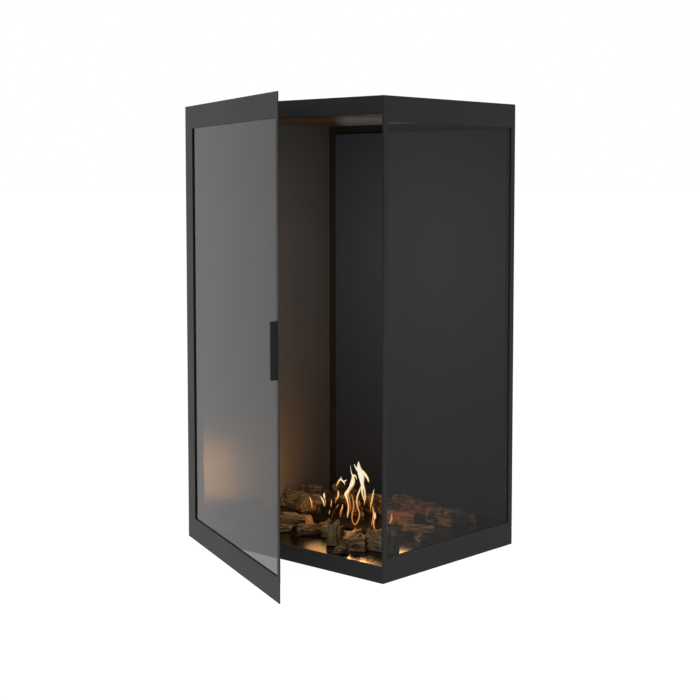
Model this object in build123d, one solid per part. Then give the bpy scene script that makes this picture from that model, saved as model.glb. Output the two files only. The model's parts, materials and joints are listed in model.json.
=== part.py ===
from build123d import *
import math
import os

# Corner fireplace with an open hinged glass door on the front and a fixed glass side on the right.
# +Z is up, the door faces -Y, the fixed glass faces +X, the closed walls are at -X and +Y.
# The origin is the centre of the casing's underside. Every length is in millimetres.

# casing
width = 600.0
depth = 450.0
height = 1000.0
sheet = 2.0
flange_height = 20.0
front_bar = 36.0
front_post = 35.0
front_return = 18.0
side_bar = 52.0
corner_strip = 12.0
corner_edge = 4.0
far_post = 14.0
notch = 16.0

# glass
glass = 4.0
gasket = 2.0
gasket_overlap = 10.0
corner_overlap = 4.0
far_overlap = 8.0
sill_height = 14.0
sill_leg = 7.0
glass_top_clearance = 1.0

# linings
liner = 1.5
back_gap = 2.0
panel_gap = 3.5
back_panel_left_gap = 28.0
back_panel_right_gap = 6.0
back_panel_top_gap = 20.0
back_panel_bottom_gap = 19.0
spacer_radius = 9.0
board = 25.0
board_margin = 24.0

# deck and its supports
deck = 2.0
deck_edge_clearance = 0.5
rail_width = 15.0
rail_wall = 1.5
rail_inset = 26.0
slot_length = 62.0
slot_width = 5.0
slot_pitch = 12.0

# burner
burner_length = 350.0
burner_depth = 112.0
burner_plate = 2.0
burner_end_margin = 25.0
flame_slot_width = 30.0
tank_wall = 1.5
tank_inset = 10.0
tank_drop = 32.0
tank_clearance = 1.0
wick_clearance = 0.5
wick_drop = 6.0
shutter_plate = 2.0
shutter_width = 42.0
shutter_overlap = 5.0
shutter_travel = 40.0
shutter_clearance = 0.3
guide_wall = 5.0
guide_lip = 1.5
knob_radius = 5.0
knob_height = 4.0
burner_screw_radius = 2.0
burner_screw_head = 1.5

# door, modelled shut and then turned open
door_open = 24.3
skin = 2.0
skin_gap = 0.5
door_clearance = 1.5
door_bar = 52.0
door_stile = 50.0
door_edge = 11.0
door_glass_overlap = 8.0
door_glass_side_gap = 9.5
door_pane = 3.0
door_gasket = 1.0
retainer_web = 4.0
retainer_lip = 1.5
retainer_gap = 0.3
retainer_screw_radius = 1.5
handle_height = 115.0
handle_reach = 16.0
handle_blade = 4.0
handle_foot = 10.0
handle_foot_thickness = 3.0
handle_edge_setback = 1.0

# pivots
pivot_inset = 6.0
pin_radius = 2.5
running_clearance = 0.05
bush_wall = 1.0
lug_radius = 5.0
lug_height = 16.0
bracket = 3.0
bracket_lift = 5.0
bracket_finger = 3.7
bracket_flange_height = 30.0
washer = 0.9
pivot_gap = 0.3

# magnets, fixings and vents
magnet_length = 40.0
magnet_depth = 8.0
magnet_height = 12.0
screw_radius = 1.75
screw_head_radius = 3.5
screw_length = 9.0
wall_hole_radius = 4.5
wall_hole_spacing_x = 460.0
wall_hole_spacing_z = 800.0
floor_hole_radius = 4.5
floor_hole_spacing_x = 500.0
floor_hole_spacing_y = 380.0
vent_length = 90.0
vent_width = 6.0
vent_pitch = 14.0
vent_back_margin = 60.0
cut_overrun = 1.0

# logs
log_length = 100.0
log_width = 40.0
log_height = 40.0
log_clearance = 0.5

# planes that several pieces share
left, right = -width / 2, width / 2
front, back = -depth / 2, depth / 2
front_inner = front + sheet
right_inner = right - sheet
left_inner = left + sheet
back_inner = back - sheet
opening_left = left + front_post
opening_right = right - corner_edge
deck_top = front_bar
deck_bottom = deck_top - deck
ceiling = height - front_bar + sheet
side_glass_face = right - sheet - gasket
side_glass_back = side_glass_face - glass
side_glass_near = front + corner_strip - corner_overlap
side_glass_far = back - far_post + far_overlap
back_liner_face = back_inner - back_gap - liner
back_glass_face = back_liner_face - panel_gap - glass
back_glass_left = opening_left + back_panel_left_gap
back_glass_right = side_glass_back - back_panel_right_gap
back_glass_bottom = deck_top + back_panel_bottom_gap
back_glass_top = ceiling - back_panel_top_gap
pivot_x = left + pivot_inset
skin_back = front - skin_gap
skin_front = skin_back - skin
pivot_y = skin_front + pivot_inset
burner_x_share, burner_y_share = 0.037, -0.1
burner_x, burner_y = burner_x_share * width, burner_y_share * depth


def block(x0, x1, y0, y1, z0, z1):
    """A box between six planes."""
    low = (Align.MIN, Align.MIN, Align.MIN)
    return Pos(x0, y0, z0) * Box(x1 - x0, y1 - y0, z1 - z0, align=low)


def rod(x, y, z0, z1, radius):
    """An upright cylinder between two heights."""
    return Pos(x, y, z0) * Cylinder(radius, z1 - z0, align=(Align.CENTER, Align.CENTER, Align.MIN))


def lying_rod(start, direction, radius, length):
    """A cylinder from a point along a direction."""
    return Plane(origin=start, z_dir=direction) * Cylinder(
        radius, length, align=(Align.CENTER, Align.CENTER, Align.MIN))


def lying_cone(start, direction, radius_start, radius_end, length):
    """A cone from a point along a direction."""
    return Plane(origin=start, z_dir=direction) * Cone(
        radius_start, radius_end, length, align=(Align.CENTER, Align.CENTER, Align.MIN))


def evenly(start, end, count):
    """Places spread evenly between two values, both ends kept."""
    return [start + (end - start) * i / (count - 1) for i in range(count)]


def spread(centre, spacing):
    """The two places half a spacing each side of a centre."""
    return [centre - spacing / 2, centre + spacing / 2]


def long_slot(x, y, z0, z1, length, slot_size):
    """A round-ended slot along X, cut from z0 up to z1."""
    end = slot_size / 2
    body = block(x - length / 2 + end, x + length / 2 - end, y - end, y + end, z0, z1)
    return body + [rod(x + s * (length / 2 - end), y, z0, z1, end) for s in (-1, 1)]


def slots(x, y, z0, z1, length, slot_size, pitch, rows=3):
    """A group of parallel slots, one behind the other."""
    offsets = [(i - (rows - 1) / 2) * pitch for i in range(rows)]
    return [long_slot(x, y + dy, z0, z1, length, slot_size) for dy in offsets]


def cut_notch(piece):
    """Leaves the hinge corner free of a horizontal plate."""
    return piece - block(left - cut_overrun, left + notch, front - cut_overrun, front + notch,
                         -cut_overrun, height + cut_overrun)


# Casing

screw_z_low = flange_height / 2 + sheet
screw_z_high = height - screw_z_low
left_screw_y = evenly(front + notch + flange_height, back - 2 * flange_height, 3)
back_screw_x = evenly(left + 2 * flange_height, right - 2 * flange_height, 4)


def casing_screw_places():
    """Each flush screw's head centre and the way it points, on the left and back walls."""
    places = []
    for z in (screw_z_low, screw_z_high):
        places += [((left, y, z), (1, 0, 0)) for y in left_screw_y]
        places += [((x, back, z), (0, -1, 0)) for x in back_screw_x]
    return places


def screw_hole(place):
    """The countersunk hole for a flush screw."""
    start, direction = place
    cone_length = screw_head_radius - screw_radius
    shank = lying_rod(start, direction, screw_radius + running_clearance, screw_length)
    head = lying_cone(start, direction, screw_head_radius + running_clearance,
                      screw_radius + running_clearance, cone_length)
    return shank + head


def make_casing_screws():
    screws = []
    cone_length = screw_head_radius - screw_radius
    for start, direction in casing_screw_places():
        head = lying_cone(start, direction, screw_head_radius, screw_radius, cone_length)
        screws.append(head + lying_rod(start, direction, screw_radius, screw_length))
    return Compound(screws)


def cut_screws(piece, side):
    """Cuts the holes of the flush screws that point along one direction."""
    for place in casing_screw_places():
        if place[1] == side:
            piece -= screw_hole(place)
    return piece


def pan(z0, z1, flange_low, flange_high):
    """A horizontal casing plate with upright flanges along the closed left and back walls."""
    plate = block(left, right_inner, front_inner, back, z0, z1)
    left_flange = block(left_inner, left_inner + sheet, front + notch + 2 * sheet, back_inner,
                        flange_low, flange_high)
    back_flange = block(left_inner, right_inner - flange_height, back_inner - sheet, back_inner,
                        flange_low, flange_high)
    piece = cut_notch(plate) + left_flange + back_flange
    return cut_screws(cut_screws(piece, (1, 0, 0)), (0, -1, 0))


def make_base_pan():
    piece = pan(0, sheet, sheet, sheet + flange_height)
    for x in spread(0, floor_hole_spacing_x):
        for y in spread(0, floor_hole_spacing_y):
            piece -= rod(x, y, -cut_overrun, sheet + cut_overrun, floor_hole_radius)
    for x in spread(0, width / 2):
        for y in (front + vent_back_margin + vent_pitch, back - vent_back_margin):
            piece -= slots(x, y, -cut_overrun, sheet + cut_overrun, vent_length, vent_width, vent_pitch)
    return piece


def make_top_cover():
    piece = pan(height - sheet, height, height - sheet - flange_height, height - sheet)
    for x in evenly(-width / 4, width / 4, 3):
        piece -= slots(x, back - vent_back_margin, height - sheet - cut_overrun, height + cut_overrun,
                       vent_length, vent_width, vent_pitch)
    return piece


def make_left_casing_panel():
    wall = block(left, left_inner, front + notch, back, sheet, height - sheet)
    fold = block(left_inner, left + notch + sheet, front + notch, front + notch + sheet,
                 sheet, height - sheet)
    return cut_screws(wall + fold, (1, 0, 0))


def make_back_casing_panel():
    wall = block(left_inner, right_inner, back_inner, back, sheet, height - sheet)
    for x in spread(0, wall_hole_spacing_x):
        for z in spread(height / 2, wall_hole_spacing_z):
            wall -= lying_rod((x, back + cut_overrun, z), (0, -1, 0), wall_hole_radius,
                              sheet + 2 * cut_overrun)
    return cut_screws(wall, (0, -1, 0))


def make_front_frame():
    """Two bars and the left post, folded back round the opening."""
    post_left = left + notch
    post_face = block(post_left, opening_left, front, front_inner, 0, height)
    post_outer = block(post_left, post_left + sheet, front_inner, front + notch, 0, height)
    post_inner = block(opening_left - sheet, opening_left, front_inner, front + front_return,
                       0, height)
    bars = []
    for face_low, face_high, fold_low, fold_high in (
            (0, deck_bottom, deck_bottom - sheet, deck_bottom),
            (height - front_bar, height, height - front_bar, height - front_bar + sheet)):
        bars.append(block(opening_left, right_inner, front, front_inner, face_low, face_high))
        bars.append(block(opening_left, right_inner, front_inner, front + front_return,
                          fold_low, fold_high))
    piece = post_face + post_outer + post_inner + bars
    pan_room = [block(left, right_inner, front_inner, front + 2 * front_return, z0, z1)
                for z0, z1 in ((0, sheet), (height - sheet, height))]
    return piece - pan_room


def make_side_frame():
    """The face that holds the fixed glass, with the slim strip folded round the near corner."""
    face = block(right_inner, right, front, back, 0, height)
    window = block(right_inner - cut_overrun, right + cut_overrun, front + corner_strip,
                   back - far_post, side_bar, height - side_bar)
    edge = block(opening_right, right_inner, front, front_inner, deck_top, height - front_bar)
    return face - window + edge


def make_side_glass():
    return block(side_glass_back, side_glass_face, side_glass_near, side_glass_far,
                 deck_top + liner, ceiling - liner - glass_top_clearance)


def make_side_glass_gasket():
    outer = block(side_glass_face, right_inner, side_glass_near, side_glass_far,
                  side_bar - gasket_overlap, height - side_bar + gasket_overlap)
    inner = block(side_glass_face - cut_overrun, right_inner + cut_overrun, front + corner_strip,
                  back - far_post, side_bar, height - side_bar)
    return outer - inner


def glass_channel(y0, z_seat, z_web, z_leg):
    """An angle along one horizontal edge of the fixed glass: a web under or over it, a leg behind it."""
    y1 = back_liner_face
    web = block(side_glass_back - liner, right_inner - running_clearance, y0, y1,
                min(z_seat, z_web), max(z_seat, z_web))
    leg = block(side_glass_back - liner, side_glass_back, y0, y1, min(z_web, z_leg), max(z_web, z_leg))
    return web + leg


def make_side_glass_sill():
    return glass_channel(side_glass_near, deck_top + liner, deck_top, deck_top + sill_height)


def make_side_glass_head():
    return glass_channel(front + front_return, ceiling - liner, ceiling, ceiling - sill_height)


def make_side_glass_rear_clip():
    """An upright angle that holds the far edge of the fixed glass to the back lining."""
    z0, z1 = deck_top + sill_height + sill_leg, ceiling - sill_height - sill_leg
    leg = block(side_glass_back - liner, side_glass_back, back - far_post, back_liner_face, z0, z1)
    foot = block(side_glass_back - sill_leg, side_glass_back - liner, back_liner_face - liner,
                 back_liner_face, z0, z1)
    return leg + foot


# Linings and insulation

def make_left_liner():
    return block(opening_left - liner, opening_left, front + front_return, back_liner_face,
                 deck_top, ceiling)


def make_back_liner():
    return block(opening_left - liner, side_glass_back - liner, back_liner_face,
                 back_liner_face + liner, deck_top, ceiling)


def make_ceiling_liner():
    piece = block(opening_left, right_inner - running_clearance, front_inner, back_liner_face + liner,
                  ceiling, ceiling + liner)
    for x in evenly(-width / 4, width / 4, 3):
        piece -= slots(x, back - vent_back_margin, ceiling - cut_overrun, ceiling + liner + cut_overrun,
                       vent_length, vent_width, vent_pitch)
    return piece


def make_left_insulation():
    return block(opening_left - liner - board, opening_left - liner, front + board_margin,
                 back_inner - board_margin, deck_top, height - board_margin - flange_height)


def make_ceiling_insulation():
    return block(opening_left + board_margin, right - board_margin - board, front + board_margin,
                 back - vent_back_margin - 2 * board_margin, ceiling + liner, ceiling + liner + board)


def make_back_glass_panel():
    return block(back_glass_left, back_glass_right, back_glass_face, back_glass_face + glass,
                 back_glass_bottom, back_glass_top)


def make_back_panel_spacers():
    margin = 3 * spacer_radius
    pads = []
    for x in (back_glass_left + margin, back_glass_right - margin):
        for z in evenly(back_glass_bottom + margin, back_glass_top - margin, 3):
            pads.append(lying_rod((x, back_liner_face, z), (0, -1, 0), spacer_radius, panel_gap))
    return Compound(pads)


# Deck and burner

plate_x0, plate_x1 = burner_x - burner_length / 2, burner_x + burner_length / 2
tank_x0, tank_x1 = plate_x0 + tank_inset, plate_x1 - tank_inset
tank_y0 = burner_y - burner_depth / 2 + tank_inset + shutter_width / 2
tank_y1 = tank_y0 + burner_depth - 2 * tank_inset
plate_y0, plate_y1 = tank_y0 - tank_inset, tank_y1 + tank_inset
slot_y0, slot_y1 = burner_y - flame_slot_width / 2, burner_y + flame_slot_width / 2
flame_slot_length = burner_length - 2 * burner_end_margin
air_slot_shares = ((-0.28, -0.298), (0.078, -0.298), (0.343, 0.355), (-0.28, 0.355))


def make_floor_deck():
    """The floor of the fire chamber, with a cut-out for the burner and groups of air slots."""
    y0, y1 = front + deck_edge_clearance, back_liner_face + liner
    piece = block(opening_left + deck_edge_clearance, right_inner - deck_edge_clearance, y0, y1,
                  deck_bottom, deck_top)
    piece += block(opening_left - rail_width, opening_left + deck_edge_clearance,
                   front + front_return + deck_edge_clearance, y1, deck_bottom, deck_top)
    piece -= block(tank_x0 - tank_clearance, tank_x1 + tank_clearance, tank_y0 - tank_clearance,
                   tank_y1 + tank_clearance, deck_bottom - cut_overrun, deck_top + cut_overrun)
    for x_share, y_share in air_slot_shares:
        piece -= slots(x_share * width, y_share * depth, deck_bottom - cut_overrun,
                       deck_top + cut_overrun, slot_length, slot_width, slot_pitch)
    return piece


def deck_rail(x, way):
    """A channel that stands on the base pan and carries one side of the deck."""
    y0, y1 = front + 2 * front_return, back - 2 * front_return
    z0, z1 = sheet, deck_bottom
    edge = x + way * rail_width
    x0, x1 = min(x, edge), max(x, edge)
    web = x + way * rail_wall
    return (block(min(x, web), max(x, web), y0, y1, z0, z1)
            + block(x0, x1, y0, y1, z0, z0 + rail_wall)
            + block(x0, x1, y0, y1, z1 - rail_wall, z1))


def make_deck_rail_left():
    return deck_rail(opening_left, 1)


def make_deck_rail_right():
    return deck_rail(side_glass_back, -1)


def make_burner_tank():
    """An open steel tray that hangs from the burner's top plate."""
    z0 = deck_top - tank_drop
    outer = block(tank_x0, tank_x1, tank_y0, tank_y1, z0, deck_top)
    inner = block(tank_x0 + tank_wall, tank_x1 - tank_wall, tank_y0 + tank_wall, tank_y1 - tank_wall,
                  z0 + tank_wall, deck_top + cut_overrun)
    return outer - inner


def make_burner_wick():
    """The block of ceramic wool that soaks up the fuel."""
    inset = tank_wall + wick_clearance
    return block(tank_x0 + inset, tank_x1 - inset, tank_y0 + inset, tank_y1 - inset,
                 deck_top - tank_drop + tank_wall, deck_top - wick_drop)


screw_inset = tank_inset / 2
burner_screw_x = evenly(plate_x0 + screw_inset, plate_x1 - screw_inset, 3)
burner_screw_y = (plate_y0 + screw_inset, plate_y1 - screw_inset)


def burner_screw_shanks(radius, z0, z1):
    return [rod(x, y, z0, z1, radius) for x in burner_screw_x for y in burner_screw_y]


def make_burner_top_plate():
    z1 = deck_top + burner_plate
    piece = block(plate_x0, plate_x1, plate_y0, plate_y1, deck_top, z1)
    piece -= long_slot(burner_x, burner_y, deck_top - cut_overrun, z1 + cut_overrun,
                       flame_slot_length, flame_slot_width)
    return piece - burner_screw_shanks(burner_screw_radius + running_clearance,
                                       deck_top - cut_overrun, z1 + cut_overrun)


def make_burner_screws():
    z = deck_top + burner_plate
    head_radius = 2 * burner_screw_radius
    return Compound([rod(x, y, deck_bottom - deck, z, burner_screw_radius)
                     + rod(x, y, z, z + burner_screw_head, head_radius)
                     for x in burner_screw_x for y in burner_screw_y])


def cut_burner_screws(piece):
    return piece - burner_screw_shanks(burner_screw_radius + running_clearance,
                                       deck_bottom - cut_overrun, deck_top + cut_overrun)


shutter_z0 = deck_top + burner_plate + shutter_clearance
shutter_z1 = shutter_z0 + shutter_plate
shutter_x0 = burner_x - flame_slot_length / 2 - shutter_overlap
shutter_x1 = burner_x + flame_slot_length / 2 + shutter_overlap
shutter_y0 = slot_y1 + (shutter_width - flame_slot_width) / 2 - shutter_plate
shutter_y1 = shutter_y0 + shutter_width


def make_burner_shutter():
    """The plate that slides towards the front over the flames' slot to put them out."""
    return block(shutter_x0, shutter_x1, shutter_y0, shutter_y1, shutter_z0, shutter_z1)


def make_shutter_knob():
    """The stub that the hook tool pushes."""
    y = shutter_y1 - knob_radius - shutter_plate
    knob = rod(burner_x, y, shutter_z1, shutter_z1 + knob_height, knob_radius)
    return chamfer(knob.edges().group_by(Axis.Z)[-1], knob_radius / 8)


def make_shutter_guides():
    """Two angle guides over the shutter's ends."""
    y0 = shutter_y0 - shutter_travel - shutter_plate
    y1 = shutter_y1 + shutter_plate
    z0, z1 = deck_top + burner_plate, shutter_z1 + shutter_clearance
    guides = []
    for x, way in ((shutter_x0, -1), (shutter_x1, 1)):
        inner = x + way * shutter_clearance
        outer = inner + way * guide_wall
        lip = inner - way * guide_wall
        wall = block(min(inner, outer), max(inner, outer), y0, y1, z0, z1)
        guides.append(wall + block(min(lip, outer), max(lip, outer), y0, y1, z1, z1 + guide_lip))
    return Compound(guides)


# Pivots

low_plate_z0 = bracket_lift
low_plate_z1 = low_plate_z0 + bracket
low_lug_z0 = low_plate_z1 + washer + pivot_gap


def mirrored(piece):
    """The same piece at the other end of the casing's height."""
    return mirror(piece, about=Plane.XY.offset(height / 2))


def make_hinge_bracket_bottom():
    """A finger from the left post to the pivot's axis, on an upright flange."""
    wall = left + notch
    finger = block(pivot_x, wall, pivot_y - bracket_finger, pivot_y + bracket_finger,
                   low_plate_z0, low_plate_z1)
    finger += rod(pivot_x, pivot_y, low_plate_z0, low_plate_z1, bracket_finger)
    flange = block(wall - sheet, wall, pivot_y - bracket_finger + pivot_gap, front + notch,
                   low_plate_z0, low_plate_z0 + bracket_flange_height)
    return finger + flange - rod(pivot_x, pivot_y, low_plate_z0 - cut_overrun,
                                 low_plate_z1 + cut_overrun, pin_radius)


def make_hinge_bracket_top():
    return mirrored(make_hinge_bracket_bottom())


def make_hinge_pins():
    pin = rod(pivot_x, pivot_y, low_plate_z0, low_lug_z0 + lug_height, pin_radius)
    return Compound([pin, mirrored(pin)])


def make_thrust_washers():
    ring = (rod(pivot_x, pivot_y, low_plate_z1, low_plate_z1 + washer, bracket_finger)
            - rod(pivot_x, pivot_y, low_plate_z1 - cut_overrun, low_plate_z1 + cut_overrun + washer,
                  pin_radius + running_clearance))
    return Compound([ring, mirrored(ring)])


bush_radius = pin_radius + running_clearance + bush_wall


def make_hinge_lugs():
    body = block(pivot_x - lug_radius, pivot_x + lug_radius, skin_back, pivot_y,
                 low_lug_z0, low_lug_z0 + lug_height)
    body += rod(pivot_x, pivot_y, low_lug_z0, low_lug_z0 + lug_height, lug_radius)
    body -= block(pivot_x - width, pivot_x + width, skin_front - lug_radius, skin_back, 0, height)
    body -= rod(pivot_x, pivot_y, low_lug_z0 - cut_overrun, low_lug_z0 + lug_height + cut_overrun,
                bush_radius)
    return Compound([body, mirrored(body)])


def make_hinge_bushes():
    tube = rod(pivot_x, pivot_y, low_lug_z0, low_lug_z0 + lug_height, bush_radius)
    tube -= rod(pivot_x, pivot_y, low_lug_z0 - cut_overrun, low_lug_z0 + lug_height + cut_overrun,
                pin_radius + running_clearance)
    return Compound([tube, mirrored(tube)])


def make_door_magnets():
    """Two magnets hidden behind the front bars near the free corner."""
    x1 = opening_right - magnet_length
    magnet = block(x1 - magnet_length, x1, front_inner, front_inner + magnet_depth,
                   sheet + magnet_height / 2, sheet + magnet_height / 2 + magnet_height)
    return Compound([magnet, mirrored(magnet)])


# Door

window_left, window_right = left + door_stile, right - door_edge
window_low, window_high = door_bar, height - door_bar
door_glass_left = window_left - door_glass_overlap
door_glass_right = right - door_glass_side_gap
door_glass_low = window_low - gasket_overlap
door_glass_high = window_high + gasket_overlap
gasket_back = skin_back + door_gasket
door_glass_back = gasket_back + door_pane


def make_door_frame():
    plate = block(left, right, skin_front, skin_back, door_clearance, height - door_clearance)
    window = block(window_left, window_right, skin_front - cut_overrun, skin_back + cut_overrun,
                   window_low, window_high)
    return plate - window


def make_door_glass():
    return block(door_glass_left, door_glass_right, gasket_back, door_glass_back,
                 door_glass_low, door_glass_high)


def make_door_glass_gasket():
    outer = block(door_glass_left, door_glass_right, skin_back, gasket_back,
                  door_glass_low, door_glass_high)
    inner = block(window_left, window_right, skin_back - cut_overrun, gasket_back + cut_overrun,
                  window_low, window_high)
    return outer - inner


bar_left = door_glass_left + retainer_web
bar_right = door_glass_right - retainer_web
bar_outer = door_glass_low - retainer_gap - retainer_web
lip_back = door_glass_back + retainer_lip
hinge_bar_outer = door_glass_left - retainer_gap - retainer_web
bar_screw_x = evenly(bar_left + door_stile, bar_right - door_stile, 4)
bar_screw_z = evenly(door_glass_low + door_stile, door_glass_high - door_stile, 5)


def retainer_shanks(radius, reach):
    """The screws' shanks through the bars, starting at the bars' back face."""
    shanks = []
    for x in bar_screw_x:
        z = bar_outer + retainer_web / 2
        shanks += [lying_rod((x, lip_back, z), (0, -1, 0), radius, reach),
                   lying_rod((x, lip_back, height - z), (0, -1, 0), radius, reach)]
    for z in bar_screw_z:
        x = hinge_bar_outer + retainer_web / 2
        shanks.append(lying_rod((x, lip_back, z), (0, -1, 0), radius, reach))
    return shanks


retainer_reach = lip_back - skin_back


def make_retainer_screws():
    head_radius = retainer_web / 2
    screws = []
    for shank in retainer_shanks(retainer_screw_radius, retainer_reach):
        centre = shank.center()
        screws.append(shank + lying_rod((centre.X, lip_back, centre.Z), (0, 1, 0), head_radius,
                                        retainer_lip))
    return Compound(screws)


def make_door_retainer_bottom():
    web = block(bar_left, bar_right, skin_back, lip_back, bar_outer, bar_outer + retainer_web)
    lip = block(bar_left, bar_right, door_glass_back, lip_back, bar_outer, window_low)
    return web + lip - retainer_shanks(retainer_screw_radius + running_clearance, retainer_reach)


def make_door_retainer_top():
    return mirrored(make_door_retainer_bottom())


def make_door_retainer_hinge():
    web = block(hinge_bar_outer, hinge_bar_outer + retainer_web, skin_back, lip_back,
                door_glass_low, door_glass_high)
    lip = block(hinge_bar_outer, bar_left - running_clearance, door_glass_back, lip_back,
                door_glass_low, door_glass_high)
    return web + lip - retainer_shanks(retainer_screw_radius + running_clearance, retainer_reach)


def make_door_handle():
    """A dark blade that stands straight out from the door's free edge, on a flat foot."""
    z0, z1 = (height - handle_height) / 2, (height + handle_height) / 2
    x1 = right - handle_edge_setback
    foot = block(right - handle_foot, right, skin_front - handle_foot_thickness, skin_front, z0, z1)
    blade = block(x1 - handle_blade, x1, skin_front - handle_reach, skin_front, z0, z1)
    return foot + blade


def open_door(piece):
    """Turns a piece of the shut door to its open place about the pivots' axis."""
    pivot = Pos(pivot_x, pivot_y, 0)
    return pivot * Rot(0, 0, -door_open) * pivot.inverse() * piece


# Logs

outline_shares = {
    "wedge": ((-0.5, 0), (0.1, -0.02), (0.5, 0.06), (0.46, 0.5), (0.15, 1.0), (-0.2, 0.86), (-0.46, 0.4)),
    "slab": ((-0.5, 0), (0.1, 0), (0.5, 0.02), (0.5, 0.6), (0.3, 0.96), (-0.25, 1.0), (-0.5, 0.7)),
    "round": ((-0.3, 0), (0.22, 0), (0.48, 0.3), (0.46, 0.68), (0.2, 0.98), (-0.26, 1.0), (-0.5, 0.5)),
}
ring_shares = (0.0, 0.22, 0.5, 0.76, 1.0)
wobble_share, bend_share = 0.09, 0.08
wobble_turns = (7.3, 2.1, 1.7)
bend_turns = (3.1, 1.3)


def log_ring(kind, i, seed, cut_share, length, across, tall):
    """One outline across the log. A sine of the seed, ring and corner wobbles and bends it."""
    along = ring_shares[i]
    half = 0.5
    way = 1 if along < half else -1
    bend = bend_share * math.sin(seed * bend_turns[0] + i * bend_turns[1])
    ring = []
    for k, (u, v) in enumerate(outline_shares[kind]):
        turn = seed * wobble_turns[0] + i * wobble_turns[1] + k * wobble_turns[2]
        wobble = 1 + wobble_share * math.sin(turn)
        slant = cut_share * (v - u) * way * abs(along - half)
        ring.append(Vector((along - half + slant) * length, (u * wobble + bend) * across,
                           v * wobble * tall))
    return ring


def log_piece(kind, x_share, y_share, lift_share, size_shares, yaw, pitch, seed, cut_share):
    """A faceted split log: rings of one outline along X, joined by triangles."""
    length_share, width_share, height_share = size_shares
    length, across, tall = length_share * log_length, width_share * log_width, height_share * log_height
    rings = [log_ring(kind, i, seed, cut_share, length, across, tall) for i in range(len(ring_shares))]
    faces = []
    count = len(rings[0])
    for lower, upper in zip(rings, rings[1:]):
        for k in range(count):
            n = (k + 1) % count
            faces.append(Face(Wire.make_polygon([lower[k], lower[n], upper[k]])))
            faces.append(Face(Wire.make_polygon([lower[n], upper[n], upper[k]])))
    for ring in (rings[0], rings[-1]):
        middle = sum(ring, Vector(0, 0, 0)) / count
        for k in range(count):
            faces.append(Face(Wire.make_polygon([ring[k], ring[(k + 1) % count], middle])))
    log = Solid(Shell(faces))
    place = Pos(x_share * width, y_share * depth, deck_top + lift_share * log_height)
    return place * Rot(0, 0, yaw) * Rot(0, pitch, 0) * log


# name: outline, place shares of the width and depth, lift share of the log height,
# length, width and height shares, yaw and pitch in degrees, seed, slant of the sawn ends
log_shares = {
    "log_far_left": ("round", -0.362, -0.24, -0.03, (1.35, 0.95, 0.95), -66, 0, 1, 0.10),
    "log_back_left": ("wedge", -0.352, 0.105, -0.03, (1.0, 1.1, 1.05), -8, 0, 2, 0.12),
    "log_rear_left": ("slab", -0.36, 0.345, -0.03, (1.1, 0.6, 0.62), -7, 0, 3, 0.10),
    "log_front_left": ("slab", -0.125, -0.235, -0.03, (0.95, 0.75, 0.85), 20, 0, 4, 0.16),
    "log_front_middle": ("round", -0.002, -0.275, -0.03, (0.95, 0.7, 0.66), 66, 0, 5, 0.12),
    "log_front_stub": ("wedge", 0.175, -0.37, -0.03, (0.3, 0.5, 1.5), 30, 0, 6, 0.06),
    "log_front_slab": ("slab", 0.205, -0.285, -0.03, (1.05, 0.6, 0.66), -66, 0, 7, 0.10),
    "log_front_wedge": ("wedge", 0.34, -0.285, -0.03, (0.7, 0.85, 1.15), 8, 0, 8, 0.14),
    "log_rear_middle": ("round", -0.195, 0.31, -0.03, (0.8, 1.0, 1.15), -16, 0, 9, 0.08),
    "log_rear_right": ("round", -0.03, 0.30, -0.03, (0.95, 1.0, 1.1), -7, 0, 10, 0.10),
    "log_long_red": ("wedge", 0.085, 0.385, -0.03, (1.42, 0.9, 1.08), 4, 4, 11, 0.12),
    "log_short_red": ("slab", 0.155, 0.185, -0.03, (0.85, 0.8, 0.85), 12, 0, 12, 0.08),
    "log_right_group": ("slab", 0.27, 0.335, -0.03, (1.05, 0.9, 1.05), -4, 0, 13, 0.12),
    "log_far_right": ("round", 0.37, 0.325, -0.03, (0.62, 0.9, 1.0), 42, 0, 14, 0.06),
    "log_right_bar": ("slab", 0.275, 0.125, -0.03, (0.85, 0.5, 0.45), 30, 0, 15, 0.12),
}
chip_shares = {
    "chip_left": ("wedge", -0.365, 0.235, -0.03, (0.6, 0.75, 1.2), 30, 0, 21, 0.10),
    "chip_rear": ("wedge", -0.335, 0.41, -0.03, (0.38, 0.75, 1.1), 30, 0, 22, 0.10),
    "chip_middle": ("wedge", -0.10, 0.20, -0.03, (0.6, 0.7, 0.9), -30, 0, 26, 0.10),
    "chip_low": ("slab", -0.105, -0.325, -0.03, (0.85, 0.6, 0.42), 50, 0, 16, 0.10),
    "chip_front": ("slab", 0.085, -0.245, -0.03, (0.55, 0.6, 0.65), 27, 0, 23, 0.10),
    "chip_foot": ("slab", 0.27, -0.45, -0.03, (0.36, 0.45, 0.4), 25, 0, 28, 0.10),
    "chip_dark": ("slab", 0.29, -0.36, -0.03, (0.42, 0.5, 0.75), 30, 0, 27, 0.10),
    "chip_right": ("slab", 0.372, -0.02, -0.03, (0.9, 0.6, 0.38), -36, 0, 24, 0.10),
    "chip_corner": ("slab", 0.428, -0.315, -0.03, (0.24, 0.5, 1.75), 60, 0, 25, 0.10),
}


def lay_logs():
    """Lays the logs in order on the deck, inside the linings and clear of the burner.
    A log that meets an earlier one is notched to clear it."""
    log_top = deck_top + 3 * log_height
    room = block(opening_left + log_clearance, side_glass_back - liner - log_clearance,
                 front_inner + log_clearance, back_glass_face - log_clearance, deck_top, log_top)
    room -= block(plate_x0 - log_clearance, plate_x1 + log_clearance, plate_y0 - log_clearance,
                  plate_y1 + log_clearance, deck_top - cut_overrun, log_top + cut_overrun)
    laid = {}
    for name, shares in list(log_shares.items()) + list(chip_shares.items()):
        log = room & log_piece(*shares)
        for other in laid.values():
            if log.bounding_box().overlaps(other.bounding_box()):
                log = log - other
        laid[name] = max(log.solids(), key=lambda solid: solid.volume)
    return laid


# Writing

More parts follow.
